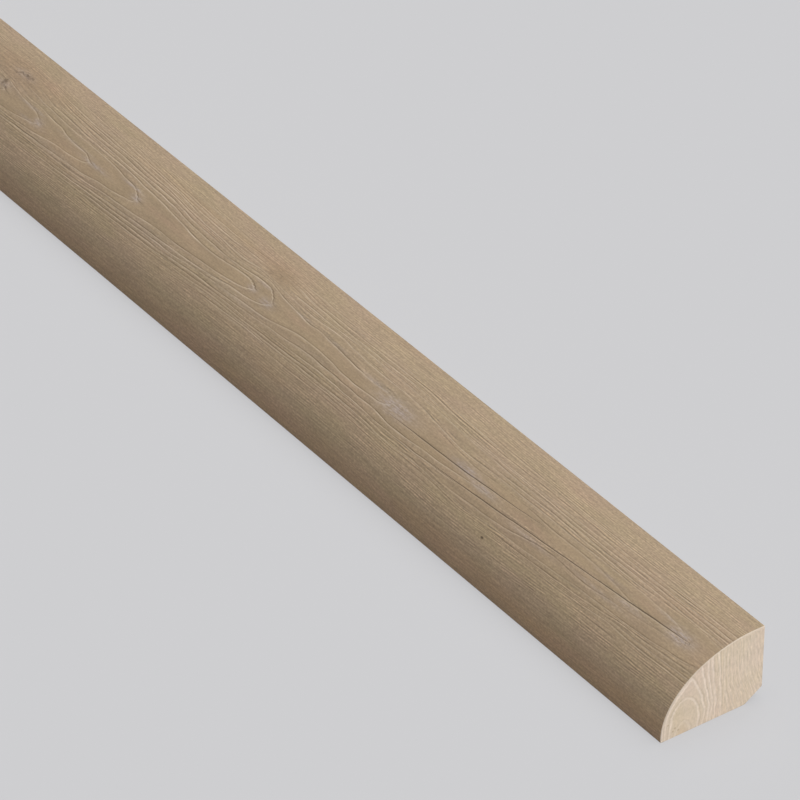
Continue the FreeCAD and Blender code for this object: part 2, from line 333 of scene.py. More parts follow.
def endMap():
    # the ring count over the sawn end on an even grid, up from the floor by its first step, out from the toe by its second
    hung = [{number: [(-z, y) for z, y in reversed(points)] for number, points in lines.items()}
            for lines in (endAway, endTowards)]
    fromToe = np.arange(-0.5, 28.5, endStep[1])
    heights = [p[0] for p in endCrest]
    rows = []
    for z in np.arange(0, 20, endStep[0]):
        crest = np.interp(z, heights, [p[1] for p in endCrest])
        rings = np.interp(z, heights, [p[2] for p in endCrest])
        rows.append(ringsAcross(-z, fromToe, crest, rings, ((hung[0], 1), (hung[1], -1))))
    return np.array(rows)


def ringMap():
    # the ring count on an even grid: along the stick by its first step, round it by its second
    along = np.arange(0, (cadHigh.x - cadLow.x) / mm + 1, gridStep[0])
    around = np.arange(-0.5, 38.5, gridStep[1])
    field = farRings(*np.meshgrid(along, around, indexing="ij"))
    first, last = grain["tracedTo"]
    bowed, reach, rise = grain["bow"]
    for i, s in enumerate(along[along < last]):
        share = np.clip((s - first) / (last - first), 0, 1)
        bent = around + waves(s, around, 5, [(60, 9, 0.05), (19, 5, 0.04), (8, 3, 0.025)])
        bent = bent - rise * math.exp(-(((s - bowed) / reach) ** 2)) * np.interp(around, (26, 29, 33, 37), (0, 1, 1, 0))
        field[i] = (1 - share) * nearRings(max(s, 0.01), bent) + share * field[i]
    return field


def steepness(field, step, s, u):
    # the ring count's change per millimetre: in all, and in the second direction alone
    first, second = np.gradient(field, step[0], step[1])
    rise = readMap(second, step, s, u)
    return np.hypot(rise, readMap(first, step, s, u)), rise


def readMap(field, step, s, u):
    # the value between the four nearest places of a grid
    a = np.clip(s / step[0], 0, field.shape[0] - 1.001)
    b = np.clip((u + 0.5) / step[1], 0, field.shape[1] - 1.001)
    i, j = a.astype(int), b.astype(int)
    p, q = a - i, b - j
    lower = (1 - q) * field[i, j] + q * field[i, j + 1]
    upper = (1 - q) * field[i + 1, j] + q * field[i + 1, j + 1]
    return (1 - p) * lower + p * upper


def lineStrength(ring, side, s):
    # how pale and how dark each ring line shows, which changes from ring to ring and along it
    number = np.round(ring)
    found = []
    for turn in (12.99, 31.7):
        chance = np.modf(np.abs(np.sin(number * turn + side * 78.23) * 4375.85))[0]
        found.append(0.4 + 0.45 * chance + 0.25 * np.sin(s / 17 + chance * 40) + 0.2 * np.sin(s / 6.1 + chance * 70))
    for ringHere, sideHere, first, last, pale, dark in grain["stretches"]:
        inside = np.clip((s - first) / 4 + 0.5, 0, 1) * np.clip((last - s) / 4 + 0.5, 0, 1)
        inside = np.where((number == ringHere) & (side == sideHere), inside, 0)
        found = [(1 - inside) * old + inside * new for old, new in zip(found, (pale, dark))]
    return np.clip(found[0], 0, 1.2), np.clip(found[1], 0, 1.2)


def checkGap(s, u):
    # distance across the nearest drying crack as a share of its half width, and how far its edges are worn down
    least, worn = np.full(s.shape, 12.0), np.zeros(s.shape)
    for points in grain["checks"]:
        line = through([(p[0], p[1]) for p in points], s) + 0.02 * np.sin(s / 2.3) + 0.015 * np.sin(s / 0.9)
        width = np.interp(s, [p[0] for p in points], [p[2] for p in points], left=0, right=0)
        gap = np.where(width > 0.01, (u - line) / np.maximum(width, 0.01), 12.0)
        least = np.where(np.abs(gap) < np.abs(least), gap, least)
        worn = np.maximum(worn, width / 0.11 * np.exp(-(((u - line) / grain["checkReach"]) ** 2)))
    return np.clip(least, -12, 12), worn


def patchField(patches, s, u):
    total = np.zeros(s.shape)
    for along, height, halfLength, halfWidth, strength in patches:
        total = np.maximum(total, strength * np.exp(-(((s - along) / halfLength) ** 2) - ((u - height) / halfWidth) ** 2))
    return total


def knotField(s, u):
    total = np.zeros(s.shape)
    for along, height, halfLength, halfWidth in grain["knots"]:
        total = np.maximum(total, np.exp(-(((s - along) / (1.3 * halfLength)) ** 2) - ((u - height) / (1.4 * halfWidth)) ** 2))
    return total


# millimetres between the places where the ring count is worked out, on the round and on the sawn end
gridStep = (0.5, 0.1)
endStep = (0.2, 0.1)

# Shape helpers


def drawTo(bm, vertex, y, z):
    made = bmesh.ops.extrude_vert_indiv(bm, verts=[vertex])
    made["verts"][0].co = (vertex.co.x, y, z)
    return made["verts"][0]


def sectionFace(bm):
    # the outline of the near end: a quarter turn stretched to the stick's width, then the straight sides
    x = cadHigh.x - stick["endChamfer"]
    toeTop = bm.verts.new((x, cadLow.y, stick["toeLand"]))
    radius = cadHigh.z - stick["toeLand"]
    tip = [toeTop]
    for degrees, columns in stick["roundColumns"]:
        made = bmesh.ops.spin(bm, geom=tip, cent=(x, cadLow.y + radius, stick["toeLand"]), axis=(-1, 0, 0),
                              angle=math.radians(degrees), steps=columns)
        tip = [v for v in made["geom_last"] if isinstance(v, bmesh.types.BMVert)]
    crest = tip[0]
    stretch = (cadHigh.y - stick["topLand"] - cadLow.y) / radius
    bmesh.ops.scale(bm, vec=(1, stretch, 1), space=Matrix.Translation((0, -cadLow.y, 0)), verts=bm.verts[:])
    wallTop = drawTo(bm, crest, cadHigh.y, cadHigh.z)
    wallFoot = drawTo(bm, wallTop, cadHigh.y, stick["cutHeight"])
    floorBack = drawTo(bm, wallFoot, cadHigh.y - stick["cutWidth"], cadLow.z)
    toeFoot = drawTo(bm, floorBack, cadLow.y, cadLow.z)
    bm.edges.new((toeFoot, toeTop))
    corners = [toeFoot, wallTop, wallFoot, floorBack]
    bmesh.ops.contextual_create(bm, geom=bm.edges[:])
    bmesh.ops.bevel(bm, geom=corners, offset=stick["arris"], offset_type="OFFSET", segments=stick["arrisSegments"],
                    profile=0.5, affect="VERTICES", material=-1, clamp_overlap=True)
    toeLand = [e for e in toeTop.link_edges if e.other_vert(toeTop).co.z < toeTop.co.z]
    topLand = [e for e in crest.link_edges if e.other_vert(crest).co.y > crest.co.y]
    bmesh.ops.subdivide_edges(bm, edges=toeLand, cuts=stick["toeLandColumns"] - 1)
    bmesh.ops.subdivide_edges(bm, edges=topLand, cuts=stick["topLandColumns"] - 1)
    return bm.faces[:][0]


def drawOut(bm, face, length):
    # extends the stick away from the near end; gives back the new end and the edges along the new stretch
    made = bmesh.ops.extrude_face_region(bm, geom=[face])["geom"]
    newVerts = [g for g in made if isinstance(g, bmesh.types.BMVert)]
    newFace = [g for g in made if isinstance(g, bmesh.types.BMFace)][0]
    bmesh.ops.translate(bm, vec=(-length, 0, 0), verts=newVerts)
    ends = set(newVerts)
    return newFace, [e for v in newVerts for e in v.link_edges if e.other_vert(v) not in ends]


def crossCut(bm, face):
    # divides the flat end into small squares, whose corners carry the ring count
    pieces = [face] + face.edges[:] + face.verts[:]
    for across, low, high in ((Vector((0, 1, 0)), cadLow.y, cadHigh.y), (Vector((0, 0, 1)), cadLow.z, cadHigh.z)):
        cuts = int((high - low) / stick["endGrid"])
        for i in range(1, cuts):
            pieces = bmesh.ops.bisect_plane(bm, geom=pieces, dist=1e-7, plane_no=across,
                                            plane_co=across * (low + (high - low) * i / cuts))["geom"]


def stickMesh():
    bm = bmesh.new()
    nearEnd = sectionFace(bm)
    farLength = cadHigh.x - cadLow.x - stick["nearLength"] - 2 * stick["endChamfer"]
    middle, nearEdges = drawOut(bm, nearEnd, stick["nearLength"])
    farEnd, farEdges = drawOut(bm, middle, farLength)
    bmesh.ops.recalc_face_normals(bm, faces=bm.faces[:])
    for end in (nearEnd, farEnd):
        bmesh.ops.inset_region(bm, faces=[end], thickness=stick["endChamfer"], depth=stick["endChamfer"],
                               use_even_offset=True)
        crossCut(bm, end)
    bmesh.ops.subdivide_edges(bm, edges=nearEdges, cuts=stick["nearRows"] - 1, use_grid_fill=True)
    bmesh.ops.subdivide_edges(bm, edges=farEdges, cuts=stick["farRows"] - 1, use_grid_fill=True)
    bm.normal_update()
    for face in bm.faces:
        normal = face.normal
        raw = normal.z < -0.2 or normal.y > 0.8
        face.material_index = 1 if abs(normal.x) > 0.3 else (2 if raw else 0)
        face.smooth = abs(normal.x) < 0.3 and not (raw and face.calc_area() > 2e-6)
    for edge in bm.edges:
        ends = [f.material_index == 1 for f in edge.link_faces]
        edge.smooth = ends[0] == ends[-1]
    mesh = bpy.data.meshes.new("oakMoulding")
    bm.to_mesh(mesh)
    bm.free()
    return mesh


def placeOnFace(points):
    # along from the near end and round from the floor, in millimetres, for each vertex
    along = (cadHigh.x - points[:, 0]) / mm
    a = (cadHigh.y - stick["topLand"] - cadLow.y) / mm
    b = (cadHigh.z - stick["toeLand"]) / mm
    toe = stick["toeLand"] / mm
    fromCrest = (cadHigh.y - stick["topLand"] - points[:, 1]) / mm
    height = points[:, 2] / mm - toe
    turn = np.arctan2(height / b, fromCrest / a)
    turns = np.linspace(0, math.pi / 2, 800)
    pace = np.sqrt((a * np.sin(turns)) ** 2 + (b * np.cos(turns)) ** 2)
    arc = np.concatenate([[0], np.cumsum((pace[1:] + pace[:-1]) / 2 * np.diff(turns))])
    around = toe + np.interp(turn, turns, arc)
    around = np.where(height < 0, height + toe, around)
    return along, np.where(fromCrest < 0, toe + arc[-1] - fromCrest, around)


def numbers(items, name, width):
    found = np.empty(len(items) * width, np.float32)
    items.foreach_get(name, found)
    return found.reshape(-1, width).astype(float)


def bandShare(u):
    low, lowFull, highFull, high = grain["band"]
    return np.clip((u - low) / (lowFull - low), 0, 1) * np.clip((high - u) / (high - highFull), 0, 1)


def grainOnto(mesh):
    # stores the grain on the vertices and presses its lines and cracks into the stained face
    points = numbers(mesh.vertices, "co", 3)
    normals = numbers(mesh.vertices, "normal", 3)
    s, u = placeOnFace(points)
    field = ringMap()
    ring = readMap(field, gridStep, s, u)
    pace, rise = steepness(field, gridStep, s, u)
    pace = np.maximum(pace, 0.02)
    side = np.where(u > through(grain["crestPath"], s), 1, -1)
    strength, darkness = lineStrength(ring, side, s)
    gap, worn = checkGap(s, u)
    knot = knotField(s, u)
    endField = endMap()
    up, fromToe = points[:, 2] / mm, (points[:, 1] - cadLow.y) / mm
    endPace = np.maximum(steepness(endField, endStep, up, fromToe)[0], 0.15)
    stored = {
        "grainPlace": np.stack((s, u, ring), 1),
        "grainMarks": np.stack((pace, rise, gap), 1),
        "grainTint": np.stack((patchField(grain["blotches"], s, u), knot, patchField(grain["blushes"], s, u)), 1),
        "grainLines": np.stack((strength, darkness, s), 1),
        "endGrain": np.stack((readMap(endField, endStep, up, fromToe), endPace, up), 1),
    }
    for name, parts in stored.items():
        layer = mesh.attributes.new(name, "FLOAT_VECTOR", "POINT")
        layer.data.foreach_set("vector", parts.astype(np.float32).ravel())
    away = (ring - np.round(ring)) / pace * np.clip(2 * rise / pace, -1, 1) - grain["grooveShift"]
    line = np.exp(-((away / grain["lineWidth"]) ** 2)) * (0.1 + 0.9 * bandShare(u)) * (1 - knot)
    line = line * 0.5 * (strength + darkness)
    depth = grain["lineDepth"] * line + grain["checkDepth"] * worn
    stained = np.zeros(len(points), bool)
    for face in mesh.polygons:
        if face.material_index == 0:
            stained[list(face.vertices)] = True
    depth = np.where(stained & (s > 0.5 * stick["endChamfer"] / mm), depth, 0)
    moved = points - normals * depth[:, None] * mm
    mesh.vertices.foreach_set("co", moved.astype(np.float32).ravel())
    mesh.update()


# Material helpers


def newMaterial(name):
    material = bpy.data.materials.new(name)
    material.use_nodes = True
    tree = material.node_tree
    return material, tree, tree.nodes["Principled BSDF"]


def addNode(tree, kind, inputs=None, **settings):
    made = tree.nodes.new(kind)
    for name, value in settings.items():
        setattr(made, name, value)
    for name, value in (inputs or {}).items():
        if isinstance(value, bpy.types.NodeSocket):
            tree.links.new(value, made.inputs[name])
        else:
            made.inputs[name].default_value = value
    return made


def sums(tree, operation, first, second=0.0, third=0.0):
    return addNode(tree, "ShaderNodeMath", {0: first, 1: second, 2: third}, operation=operation).outputs[0]


def blendIn(tree, share, under, over, kind="MIX"):
    made = addNode(tree, "ShaderNodeMix", {0: share, 6: under, 7: over}, data_type="RGBA", blend_type=kind)
    return made.outputs[2]


def stretched(tree, vector, scales, offset=(0, 0, 0)):
    return addNode(tree, "ShaderNodeMapping", {"Vector": vector, "Scale": scales, "Location": offset}).outputs[0]


def noiseOn(tree, vector, scales, detail=2.0, offset=(0, 0, 0), roughness=0.5):
    place = stretched(tree, vector, scales, offset)
    return addNode(tree, "ShaderNodeTexNoise", {"Vector": place, "Scale": 1.0, "Detail": detail,
                                                "Roughness": roughness}).outputs[0]


def ranged(tree, value, fromLow, fromHigh, toLow=0.0, toHigh=1.0, kind="LINEAR"):
    made = addNode(tree, "ShaderNodeMapRange", {0: value, 1: fromLow, 2: fromHigh, 3: toLow, 4: toHigh},
                   interpolation_type=kind)
    return made.outputs[0]


def scaledColour(tree, colour, factor):
    return addNode(tree, "ShaderNodeVectorMath", {0: colour, 3: factor}, operation="SCALE").outputs[0]


# What the stained face looks like
stain = {
    "tan": (0.383, 0.284, 0.186, 1),
    "rose": (0.393, 0.284, 0.193, 1),
    "olive": (0.374, 0.287, 0.175, 1),
    "orange": (0.415, 0.284, 0.170, 1),
    # limed pores along each ring line, partly a painted highlight on the groove's lower lip
    "limedAndLitLine": (0.57, 0.46, 0.34, 1),
    # painted shade along the upper wall of each ring groove
    "grooveShadeLine": (0.20, 0.135, 0.075, 1),
    "plain": (0.374, 0.275, 0.172, 1),  # between widely spaced rings
    "lime": (0.398, 0.320, 0.272, 1),
    "limedPatchLitLine": (0.52, 0.435, 0.365, 1),  # a ring line inside a limed patch: limed pores, partly a painted highlight on the groove's lower lip
    "blush": (0.418, 0.283, 0.192, 1),
    # painted shade inside the cracks; the same dark colour also makes the short dark marks, which are real
    "crackShadeAndMarks": (0.07, 0.040, 0.022, 1),
    # painted highlight along the lower lip of each crack
    "crackLipHighlight": (0.50, 0.40, 0.28, 1),
    "knot": (0.325, 0.230, 0.138, 1),
    "alongTone": 0.035,  # lighter at the near end, darker 300 mm along, and so on
    "comb": 0.36,  # how much the fine lines between the rings lighten and darken the colour
    "toeShade": (1.0, 0.91, 0.83, 1),  # painted shade: multiplies the colour, darker and warmer, close to the floor
    # short dark marks: along, round, half length, half width, how dark
    "dashes": [(68.3, 11.5, 0.55, 0.36, 0.8), (274.2, 28.4, 1.1, 0.38, 0.5), (276.0, 28.6, 0.9, 0.5, 0.65),
               (277.9, 28.2, 1.2, 0.42, 0.5), (275.2, 27.8, 0.9, 0.34, 0.45), (279.2, 27.7, 1.1, 0.36, 0.4),
               (279.0, 23.6, 0.9, 0.8, 0.5), (277.6, 22.7, 1.3, 0.40, 0.4), (169.8, 28.4, 1.5, 0.3, 0.18),
               (167.2, 29.0, 1.2, 0.28, 0.18)],
    "fibre": 0.045,  # how much each of these patterns lightens and darkens the colour
    "ringFibre": 0.07,
    "strokes": 0.085,
    "grit": 0.14,
    "patches": 0.025,
    "roughness": 0.62,
    "specular": 0.35,
    "grooveDepth": 0.040,
    "strokeDepth": 0.025,
    "gritDepth": 0.015,
}


def bell(tree, distance, centre, width):
    # one at the centre, falling smoothly to nothing at the width
    away = sums(tree, "ABSOLUTE", sums(tree, "SUBTRACT", distance, centre))
    return ranged(tree, away, 0.0, width, 1.0, 0.0, "SMOOTHSTEP")


def stainedOak():
    material, tree, shader = newMaterial("stainedOak")
    place = addNode(tree, "ShaderNodeAttribute", attribute_name="grainPlace").outputs["Vector"]
    marks = addNode(tree, "ShaderNodeAttribute", attribute_name="grainMarks").outputs["Vector"]
    tint = addNode(tree, "ShaderNodeAttribute", attribute_name="grainTint").outputs["Vector"]
    s, u, ring = addNode(tree, "ShaderNodeSeparateXYZ", {0: place}).outputs[:3]
    pace, rise, gap = addNode(tree, "ShaderNodeSeparateXYZ", {0: marks}).outputs[:3]
    blotch, knot, blush = addNode(tree, "ShaderNodeSeparateXYZ", {0: tint}).outputs[:3]
    lines = addNode(tree, "ShaderNodeAttribute", attribute_name="grainLines").outputs["Vector"]
    paleness, darkness = addNode(tree, "ShaderNodeSeparateXYZ", {0: lines}).outputs[:2]
    face = addNode(tree, "ShaderNodeCombineXYZ", {0: s, 1: u}).outputs[0]

    across = addNode(tree, "ShaderNodeCombineXYZ", {0: s, 1: ring}).outputs[0]
    fibre = noiseOn(tree, face, (0.13, 3.0, 1), 0.0)
    ringFibre = noiseOn(tree, across, (0.09, 2.5, 1), 0.0, (0, 17, 0))
    strokes = noiseOn(tree, face, (0.5, 2.4, 1), 1.0, (0, 31, 0), 0.6)
    grit = noiseOn(tree, face, (1.4, 2.2, 1), 1.0, (11, 0, 0), 0.7)
    patches = noiseOn(tree, face, (0.05, 0.22, 1), 3.0, (3, 0, 0))
    hue = noiseOn(tree, face, (0.06, 0.2, 1), 2.0, (0, 53, 0))
    warm = noiseOn(tree, face, (0.022, 0.12, 1), 2.0, (40, 8, 0))

    # ring lines: a groove whose upper edge carries painted shade, and a pale line along its lower edge that is limed
    # pores and partly a painted highlight
    wander = sums(tree, "MULTIPLY", sums(tree, "SUBTRACT", noiseOn(tree, face, (0.4, 0.9, 1), 2.0), 0.5), 0.16)
    ringIndex = sums(tree, "ROUND", ring)
    off = sums(tree, "DIVIDE", sums(tree, "SUBTRACT", ring, ringIndex), pace)
    lean = ranged(tree, sums(tree, "DIVIDE", rise, pace), -0.5, 0.5, -1.0, 1.0)
    away = sums(tree, "ADD", sums(tree, "MULTIPLY", off, lean), wander)
    atLine = bell(tree, off, 0.0, 0.45)
    alongRing = addNode(tree, "ShaderNodeCombineXYZ", {0: s, 1: sums(tree, "MULTIPLY", ringIndex, 7.3)}).outputs[0]
    broken = ranged(tree, noiseOn(tree, alongRing, (0.22, 1, 1), 3.0), 0.34, 0.6, 0.5, 1.1)
    low, lowFull, highFull, high = grain["band"]
    band = sums(tree, "MULTIPLY", ranged(tree, u, low, lowFull), ranged(tree, u, high, highFull))
    band = sums(tree, "MAXIMUM", band, 0.12)
    inKnot = ranged(tree, knot, 0.1, 0.6, 1.0, 0.3)
    strength = sums(tree, "MULTIPLY", sums(tree, "MULTIPLY", band, broken), inKnot)
    strength = sums(tree, "MULTIPLY", strength, ranged(tree, blotch, 0.3, 1.0, 1.0, 0.65))
    strength = sums(tree, "MULTIPLY", strength, ranged(tree, pace, 0.8, 1.2, 1.0, 0.78))
    # one where the lines are wide and plain, about 130 to 230 mm along
    middle = sums(tree, "MULTIPLY", ranged(tree, s, 110.0, 150.0), ranged(tree, s, 210.0, 240.0, 1.0, 0.0))
    strength = sums(tree, "MULTIPLY", strength, ranged(tree, middle, 0.0, 1.0, 1.0, 1.2))
    atTip = sums(tree, "SUBTRACT", 1.0, sums(tree, "ABSOLUTE", lean))
    tipLine = sums(tree, "MULTIPLY", sums(tree, "MULTIPLY", atTip, atLine), 0.9)
    # painted shade along the outer side of each loop's tip
    tipShade = sums(tree, "MULTIPLY", sums(tree, "MULTIPLY", atTip, bell(tree, off, -0.42, 0.34)), 0.9)
    paleReach = sums(tree, "MAXIMUM", ranged(tree, blotch, 0.1, 0.7, 0.20, 0.42), ranged(tree, middle, 0.0, 1.0, 0.20, 0.27))
    paleBell = ranged(tree, sums(tree, "DIVIDE", sums(tree, "ABSOLUTE", away), paleReach), 0.0, 1.0, 1.0, 0.0, "SMOOTHSTEP")
    pale = sums(tree, "MULTIPLY", sums(tree, "MAXIMUM", paleBell, tipLine), strength)
    pale = sums(tree, "MULTIPLY", pale, paleness)
    dark = sums(tree, "MAXIMUM", bell(tree, away, 0.27, 0.23), tipShade)
    dark = sums(tree, "MULTIPLY", dark, sums(tree, "MULTIPLY", strength, darkness))
    groove = sums(tree, "MULTIPLY", bell(tree, away, grain["grooveShift"], 0.24), strength)
    groove = sums(tree, "MULTIPLY", groove, sums(tree, "MULTIPLY", sums(tree, "ADD", paleness, darkness), 0.5))

    # fine lines in patches between the rings
    shift = sums(tree, "MULTIPLY", noiseOn(tree, face, (0.08, 0.5, 1), 2.0), 5.0)
    comb = sums(tree, "SINE", sums(tree, "ADD", sums(tree, "MULTIPLY", ring, 9.7), shift))
    patchy = ranged(tree, noiseOn(tree, face, (0.07, 0.3, 1), 2.0, (0, 71, 0)), 0.33, 0.55)
    patchy = sums(tree, "MULTIPLY", patchy, ranged(tree, noiseOn(tree, face, (0.25, 1.2, 1), 2.0, (0, 23, 0)), 0.34, 0.6))
    patchy = sums(tree, "MULTIPLY", patchy, ranged(tree, pace, 0.6, 0.95))
    patchy = sums(tree, "MULTIPLY", patchy, sums(tree, "MULTIPLY", ranged(tree, u, 7.5, 9.5), ranged(tree, u, 32.5, 35.5, 1.0, 0.0)))
    patchy = sums(tree, "MULTIPLY", patchy, sums(tree, "MULTIPLY", inKnot, ranged(tree, middle, 0.0, 1.0, 1.0, 0.65)))
    pores = sums(tree, "SINE", sums(tree, "ADD", sums(tree, "MULTIPLY", u, 12.0), shift))
    pores = sums(tree, "MULTIPLY", pores, ranged(tree, noiseOn(tree, face, (0.6, 1.4, 1), 1.0, (0, 5, 0)), 0.4, 0.6))
    inPatch = ranged(tree, blotch, 0.25, 0.8)

    colour = blendIn(tree, ranged(tree, hue, 0.35, 0.65), stain["olive"], stain["rose"])
    colour = blendIn(tree, 0.4, colour, stain["tan"])
    colour = blendIn(tree, ranged(tree, pace, 0.15, 0.7, 0.85, 0.0), colour, stain["plain"])
    colour = blendIn(tree, ranged(tree, warm, 0.56, 0.74, 0.0, 0.4), colour, stain["orange"])
    colour = blendIn(tree, sums(tree, "MULTIPLY", blush, ranged(tree, hue, 0.3, 0.6, 0.4, 1.0)), colour, stain["blush"])
    colour = blendIn(tree, ranged(tree, knot, 0.05, 0.9, 0.0, 0.75), colour, stain["knot"])
    limed = sums(tree, "MULTIPLY", blotch, ranged(tree, strokes, 0.38, 0.6, 0.4, 1.2))
    colour = blendIn(tree, sums(tree, "MINIMUM", limed, 1.0), colour, stain["lime"])
    # painted shade: darker and warmer towards the floor
    toe = ranged(tree, u, 1.5, 9.0, 1.0, 0.0, "SMOOTHSTEP")
    colour = blendIn(tree, toe, colour, stain["toeShade"], "MULTIPLY")
    light = ranged(tree, bell(tree, u, 26.0, 7.0), 0.0, 1.0, 1.0, 0.96)
    light = sums(tree, "MULTIPLY", light, ranged(tree, bell(tree, u, 11.6, 4.6), 0.0, 1.0, 1.0, 1.085))
    drift = sums(tree, "COSINE", sums(tree, "MULTIPLY", s, 0.0105))
    light = sums(tree, "MULTIPLY", light, sums(tree, "MULTIPLY_ADD", drift, stain["alongTone"], 1.0))
    light = sums(tree, "MULTIPLY", light, sums(tree, "MULTIPLY_ADD", comb, sums(tree, "MULTIPLY", patchy, stain["comb"]), 1.0))
    light = sums(tree, "MULTIPLY", light, sums(tree, "MULTIPLY_ADD", pores, sums(tree, "MULTIPLY", inPatch, 0.09), 1.0))
    coarse = sums(tree, "MULTIPLY", ranged(tree, u, 3.0, 8.0, 1.0, 1.05), ranged(tree, pace, 0.2, 0.8, 0.6, 1.0))
    coarse = sums(tree, "MULTIPLY", coarse, sums(tree, "ADD", sums(tree, "MULTIPLY", inPatch, 0.4), 1.0))
    patterns = {"fibre": fibre, "ringFibre": ringFibre, "strokes": strokes, "grit": grit, "patches": patches}
    for name, pattern in patterns.items():
        swing = sums(tree, "MULTIPLY", sums(tree, "SUBTRACT", pattern, 0.5), stain[name] / 0.2)
        light = sums(tree, "MULTIPLY", light, sums(tree, "MULTIPLY_ADD", swing, coarse, 1.0))
    colour = scaledColour(tree, colour, light)
    # painted shade along the upper wall of each ring groove
    colour = blendIn(tree, sums(tree, "MULTIPLY", dark, 0.58), colour, stain["grooveShadeLine"])
    # the pale line: limed pores, partly a painted highlight on the groove's lower lip
    lineColour = blendIn(tree, inPatch, stain["limedAndLitLine"], stain["limedPatchLitLine"])
    colour = blendIn(tree, sums(tree, "MULTIPLY", pale, 0.63), colour, lineColour)
    ripple = sums(tree, "MULTIPLY", sums(tree, "SUBTRACT", noiseOn(tree, face, (0.9, 0.6, 1), 1.0), 0.5), 2.2)
    rippled = addNode(tree, "ShaderNodeCombineXYZ", {0: s, 1: sums(tree, "ADD", u, ripple)}).outputs[0]
    for along, height, halfLength, halfWidth, share in stain["dashes"]:
        away = stretched(tree, face if along < 100 else rippled, (1 / halfLength, 1 / halfWidth, 1),
                         (-along / halfLength, -height / halfWidth, 0))
        apart = addNode(tree, "ShaderNodeVectorMath", {0: away}, operation="LENGTH").outputs["Value"]
        colour = blendIn(tree, ranged(tree, apart, 0.3, 1.3, share, 0.0, "SMOOTHSTEP"), colour, stain["crackShadeAndMarks"])
    # painted highlight along the lower lip of each crack
    crackLipHighlight = bell(tree, gap, -2.4, 1.6)
    colour = blendIn(tree, sums(tree, "MULTIPLY", crackLipHighlight, ranged(tree, s, 34.0, 50.0, 0.75, 0.55)), colour,
                     stain["crackLipHighlight"])
    # painted shade inside each crack
    crackShadeMask = ranged(tree, sums(tree, "ABSOLUTE", gap), 0.5, 1.6, 1.0, 0.0, "SMOOTHSTEP")
    colour = blendIn(tree, sums(tree, "MULTIPLY", crackShadeMask, 0.85), colour, stain["crackShadeAndMarks"])
    tree.links.new(colour, shader.inputs["Base Color"])

    height = sums(tree, "MULTIPLY", groove, -stain["grooveDepth"])
    height = sums(tree, "ADD", height, sums(tree, "MULTIPLY", strokes, stain["strokeDepth"]))
    height = sums(tree, "ADD", height, sums(tree, "MULTIPLY", grit, stain["gritDepth"]))
    bump = addNode(tree, "ShaderNodeBump", {"Strength": 1.0, "Distance": mm, "Height": height})
    tree.links.new(bump.outputs[0], shader.inputs["Normal"])
    shader.inputs["Roughness"].default_value = stain["roughness"]
    shader.inputs["Specular IOR Level"].default_value = stain["specular"]
    return material


# What the sawn ends and the unstained faces look like
rawOak = {
    "cream": (0.566, 0.468, 0.362, 1),
    "pink": (0.582, 0.466, 0.370, 1),
    "straw": (0.555, 0.455, 0.332, 1),
    "pale": (0.74, 0.64, 0.55, 1),
    "brown": (0.36, 0.275, 0.195, 1),
    "heart": (0.57, 0.43, 0.30, 1),  # inside the innermost ring
    "arris": (0.58, 0.49, 0.395, 1),  # along the sawn end's edge
    "specks": [(3.7, 2.4, 0.45), (3.2, 1.8, 0.4), (4.6, 1.6, 0.4), (1.8, 4.0, 0.4)],  # from the toe, up, size
    "fineLines": 0.05,
    "mottle": 0.055,
    "roughness": 0.75,
    "specular": 0.25,
}


def rawColour(tree, slowNoise, otherNoise):
    colour = blendIn(tree, ranged(tree, slowNoise, 0.35, 0.65), rawOak["cream"], rawOak["pink"])
    return blendIn(tree, ranged(tree, otherNoise, 0.45, 0.75), colour, rawOak["straw"])


def millimetres(tree):
    place = addNode(tree, "ShaderNodeTexCoord").outputs["Object"]
    return stretched(tree, place, (1 / mm, 1 / mm, 1 / mm), (0, -cadLow.y / mm, 0))


